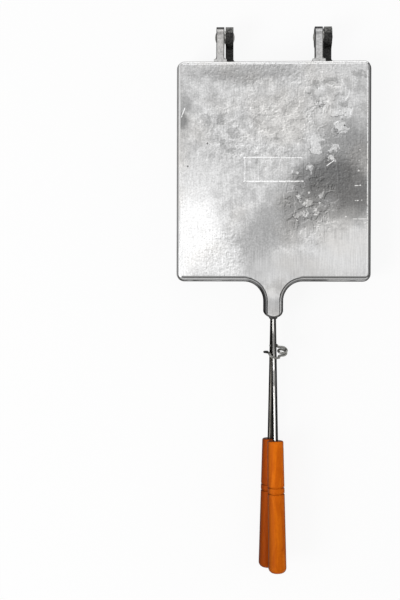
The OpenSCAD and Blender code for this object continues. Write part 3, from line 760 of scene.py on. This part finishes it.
rivet_steel = small_steel_material("rivet steel", (0.24, 0.235, 0.22), (0.50, 0.49, 0.47), roughness=0.28)
washer_steel = small_steel_material("washer steel", (0.42, 0.42, 0.40), (0.74, 0.73, 0.70), roughness=0.24)
latch_steel = small_steel_material(
    "latch wire", (0.17, 0.17, 0.16), (0.40, 0.395, 0.375), roughness=0.34, shaded_left_of=-3)
finishes = {
    "top_plate": casting_material("upper casting", outward=1, marks=UPPER_FACE, seed=0),
    "bottom_plate": casting_material("lower casting", outward=-1, marks=LOWER_FACE, seed=330),
    "top_handle_rod": rod_material("bright rod", tint=(1.0, 0.985, 0.95), dull=0.0, dull_light=0.32),
    # The lower rod is the same steel, dull throughout and darker, with tarnish and painted shade
    "bottom_handle_rod": rod_material("dull rod", tint=(1.0, 0.94, 0.82), dull=0.97, dull_light=0.12),
    "top_grip": wood_material("orange wood", (0.70, 0.160, 0.005), (0.49, 0.088, 0.002), seed=0),
    # The lower grip is the same wood as the upper one, darker as painted shade
    "bottom_grip": wood_material("orange wood with painted shade", (0.43, 0.075, 0.002), (0.32, 0.049, 0.001), seed=90),
    "left_hinge_rivet": rivet_steel,
    "right_hinge_rivet": rivet_steel,
    "left_hinge_washer": washer_steel,
    "right_hinge_washer": washer_steel,
}
for node_name, finish in finishes.items():
    paint(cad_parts[node_name], finish)


# Wire latch: a smooth round wire on the path of the bent one
def turn(degrees, axis):
    return Matrix.Rotation(math.radians(degrees), 4, axis)


def handle_depth_lean():
    """Lean in degrees at which the ends of the two grips just clear each other."""
    shift = 2 * ROD_BARE_LENGTH * math.sin(math.radians(HANDLE_SIDE_LEAN))
    rise = math.sqrt((GRIP_FRONT_DIAMETER + GRIP_GAP) ** 2 - shift ** 2)
    return math.degrees(math.asin((rise / 2 - PLATE_THICKNESS / 2) / ROD_BARE_LENGTH))


def latch_frame():
    """The latch's own frame on the upper rod, in millimetres, released from the lower rod."""
    upper_half = Matrix.Translation((0, 0, 2 * PLATE_THICKNESS)) @ turn(180, "Y")
    lean = turn(-HANDLE_SIDE_LEAN, "Z") @ turn(handle_depth_lean(), "X")
    rod_start = Matrix.Translation((0, NECK_END_Y, PLATE_THICKNESS / 2)) @ lean
    on_rod = Matrix.Translation((0, -LATCH_DISTANCE, 0))
    return upper_half @ rod_start @ on_rod @ turn(180 + LATCH_RELEASE_ANGLE, "Y")


def spline(guides, steps):
    """Smooth path that starts and ends on the guides and rounds the corners between them."""
    guides = [Vector(guide) for guide in guides]
    points = []
    for i in range(1, len(guides) - 1):
        begin = guides[0] if i == 1 else (guides[i - 1] + guides[i]) / 2
        end = guides[-1] if i == len(guides) - 2 else (guides[i] + guides[i + 1]) / 2
        for k in range(steps):
            t = k / steps
            points.append((1 - t) ** 2 * begin + 2 * t * (1 - t) * guides[i] + t ** 2 * end)
    return points + [guides[-1]]


def eye_point(degrees, rise, distance):
    """Point of the tilted spring eye at an angle round it and a rise along its axis."""
    angle, tilt = math.radians(degrees), math.radians(EYE_TILT)
    return Vector((
        distance + EYE_RADIUS * math.cos(angle),
        -EYE_RADIUS * math.sin(angle) * math.sin(tilt) - rise * math.cos(tilt),
        EYE_RADIUS * math.sin(angle) * math.cos(tilt) - rise * math.sin(tilt),
    ))


def latch_path(spline_steps=12, eye_steps_per_turn=48):
    """Middle line of the wire in the latch's own frame: lower leg, spring eye, upper leg and hook."""
    rod_radius = ROD_DIAMETER / 2
    wire_radius = WIRE_DIAMETER / 2
    ring = rod_radius + LATCH_PLAY + wire_radius
    eye_distance = rod_radius + EYE_CLEARANCE + wire_radius + EYE_RADIUS
    side = 2 * LATCH_DISTANCE * math.tan(math.radians(HANDLE_SIDE_LEAN))
    down = PLATE_THICKNESS + 2 * LATCH_DISTANCE * math.tan(math.radians(handle_depth_lean()))
    eye_rise = EYE_TURNS * (WIRE_DIAMETER + EYE_GAP)
    eye_steps = int(eye_steps_per_turn * EYE_TURNS)
    eye = [
        eye_point(-90 + 360 * k / eye_steps_per_turn, eye_rise * (k / eye_steps - 0.5), eye_distance)
        for k in range(eye_steps + 1)
    ]
    beside_eye = eye_distance - 2 * EYE_RADIUS * 0.6
    hook_side, hook_along, hook_depth = -side - ring, -1, -down - ring
    under_leg = spline([
        (-ring * 0.75, LEG_SPREAD / 2 - 1, -ring),
        (0, LEG_SPREAD / 2, -ring),
        (ring + 0.5, LEG_SPREAD / 2, -ring),
        (beside_eye, eye[0].y, eye[0].z),
        eye[0],
    ], spline_steps)
    over_leg = spline([
        eye[-1],
        (beside_eye, eye[-1].y, eye[-1].z),
        (ring + 0.5, -LEG_SPREAD / 2, ring),
        (0, -LEG_SPREAD / 2, ring + 0.3),
        (-ring, -LEG_SPREAD / 2 + 1.5, ring),
        (hook_side, hook_along, wire_radius),
        (hook_side, hook_along, -down / 2),
        (hook_side, hook_along, -down),
        (hook_side, hook_along, hook_depth),
        (-side - rod_radius * 0.55, hook_along, hook_depth),
        (-side - rod_radius * 0.1, hook_along, hook_depth),
    ], spline_steps)
    return under_leg[:-1] + eye + over_leg[1:]


def wire_rings(path, radius, end_steps=4):
    """Middle, direction and radius of each ring of a wire with softly rounded ends."""
    last = len(path) - 1
    along = [(path[min(i + 1, last)] - path[max(i - 1, 0)]).normalized() for i in range(last + 1)]
    rounding = radius * 0.35

    def rounded_end(index, inward):
        rings = []
        for k in range(1, end_steps + 1):
            angle = math.pi / 2 * k / end_steps
            middle = path[index] + inward * rounding * (1 - math.sin(angle))
            rings.append((middle, along[index], radius - rounding * (1 - math.cos(angle))))
        return rings

    middle_rings = [
        (point, direction, radius)
        for point, direction in zip(path, along)
        if min((point - path[0]).length, (point - path[last]).length) > rounding
    ]
    return rounded_end(0, along[0])[::-1] + middle_rings + rounded_end(last, -along[last])


def make_object(name, vertices, faces):
    mesh = bpy.data.meshes.new(name)
    mesh.from_pydata(vertices, [], faces)
    mesh.shade_smooth()
    made = bpy.data.objects.new(name, mesh)
    bpy.context.scene.collection.objects.link(made)
    return made


def make_wire(name, path, radius, sides=20):
    rings = wire_rings(path, radius)
    side = Vector((0, 0, 1))
    vertices = []
    for middle, direction, size in rings:
        side = (side - direction * side.dot(direction)).normalized()
        up = direction.cross(side)
        for k in range(sides):
            angle = 2 * math.pi * k / sides
            vertices.append((middle + size * (math.cos(angle) * side + math.sin(angle) * up)) * MM)
    faces = []
    for i in range(len(rings) - 1):
        for k in range(sides):
            a, b = i * sides + k, i * sides + (k + 1) % sides
            faces.append((a, b, b + sides, a + sides))
    faces.append(tuple(reversed(range(sides))))
    faces.append(tuple(range((len(rings) - 1) * sides, len(rings) * sides)))
    return make_object(name, vertices, faces)


latch_place = latch_frame()
latch = make_wire("bent_wire_latch", [latch_place @ point for point in latch_path()], WIRE_DIAMETER / 2)
paint(latch, latch_steel)
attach(latch, "latch")
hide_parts("wire_latch")

# Floor: white to the camera and in the metal, with a faint shadow. Sizes in metres.
FLOOR_HALF = 30
FLOOR_GAP = 0.0005
FLOOR_COLOUR = rgb(0.8, 0.8, 0.8)
FLOOR_GLOW = 1.01
FLOOR_GLOW_SHARE = 0.88


def floor_material():
    """Plain floor that mostly glows white when it is seen. The plain share keeps a faint shadow."""
    material = bpy.data.materials.new("pale floor")
    material.use_nodes = True
    graph = Graph(material.node_tree)
    rays = graph.node("ShaderNodeLightPath").outputs
    seen = graph.math("MAXIMUM", rays["Is Camera Ray"], rays["Is Glossy Ray"])
    seen = graph.math("MAXIMUM", seen, rays["Is Transmission Ray"])
    plain = graph.node("ShaderNodeBsdfDiffuse", {"Color": FLOOR_COLOUR}).outputs[0]
    white = graph.node("ShaderNodeEmission", {"Color": WHITE, "Strength": FLOOR_GLOW}).outputs[0]
    share = graph.math("MULTIPLY", seen, FLOOR_GLOW_SHARE)
    mixed = graph.node("ShaderNodeMixShader", {0: share, 1: plain, 2: white}).outputs[0]
    graph.put(mixed, material.node_tree.nodes["Material Output"].inputs["Surface"])
    return material


floor_height = cad_low.z - FLOOR_GAP
floor_corners = [(-1, -1), (1, -1), (1, 1), (-1, 1)]
floor = make_object(
    "floor", [(x * FLOOR_HALF, y * FLOOR_HALF, floor_height) for x, y in floor_corners], [(0, 1, 2, 3)])
paint(floor, floor_material())

# Studio: a soft room that is bright overhead, dim lower down and white along the horizon
OVERHEAD_LIGHT = 0.62
DIM_LIGHT = 0.20
HORIZON_LIGHT = 0.95


def studio_world():
    world = bpy.data.worlds.new("studio")
    bpy.context.scene.world = world
    world.use_nodes = True
    graph = Graph(world.node_tree)
    height = graph.axes(graph.node("ShaderNodeTexCoord").outputs["Generated"])["Z"]
    overhead = graph.between(height, 0.45, 0.95, DIM_LIGHT, OVERHEAD_LIGHT)
    light = graph.blend(graph.between(height, 0.45, 0.28), overhead, HORIZON_LIGHT)
    graph.put(graph.grey(light), world.node_tree.nodes["Background"].inputs["Color"])


def soft_lamp(name, place, size, watts):
    """Rectangular lamp that faces the iron's plate."""
    data = bpy.data.lights.new(name, "AREA")
    data.shape = "RECTANGLE"
    data.size, data.size_y = size
    data.energy = watts
    lamp = bpy.data.objects.new(name, data)
    lamp.location = place
    lamp.rotation_euler = Vector(place).to_track_quat("Z", "Y").to_euler()
    bpy.context.scene.collection.objects.link(lamp)


studio_world()
soft_lamp("lamp beyond the hinge", place=(0.1, 1.6, 0.6), size=(2.2, 0.9), watts=7)
soft_lamp("lamp on the right", place=(1.6, 0.2, 0.6), size=(0.8, 1.6), watts=6)
soft_lamp("lamp overhead", place=(-0.05, 0.1, 1.9), size=(1.3, 1.3), watts=3)
soft_lamp("lamp on the left", place=(-1.3, -0.7, 1.2), size=(0.9, 0.9), watts=16)


def camera_at_photo():
    """Camera at the photograph's viewpoint."""
    data = bpy.data.cameras.new("photo camera")
    data.sensor_width = SENSOR_WIDTH
    data.lens = FOCAL_PIXELS * SENSOR_WIDTH / PHOTO_HEIGHT
    data.clip_end = 100
    camera = bpy.data.objects.new("photo camera", data)
    sideways = math.sin(math.radians(CAMERA_PAN))
    lengthways = -math.sin(math.radians(CAMERA_TILT))
    back = Vector((sideways, lengthways, math.sqrt(1 - sideways ** 2 - lengthways ** 2)))
    roll = math.radians(CAMERA_ROLL)
    right = Vector((math.cos(roll), math.sin(roll), 0))
    right = (right - back * right.dot(back)).normalized()
    eye = (CAMERA_AIM + back * CAMERA_DISTANCE) * MM
    axes = Matrix((right, back.cross(right), back)).transposed()
    camera.matrix_world = Matrix.Translation(eye) @ axes.to_4x4()
    bpy.context.scene.collection.objects.link(camera)
    bpy.context.scene.camera = camera


camera_at_photo()
bpy.context.scene.view_settings.view_transform = "Standard"

bpy.context.view_layer.update()
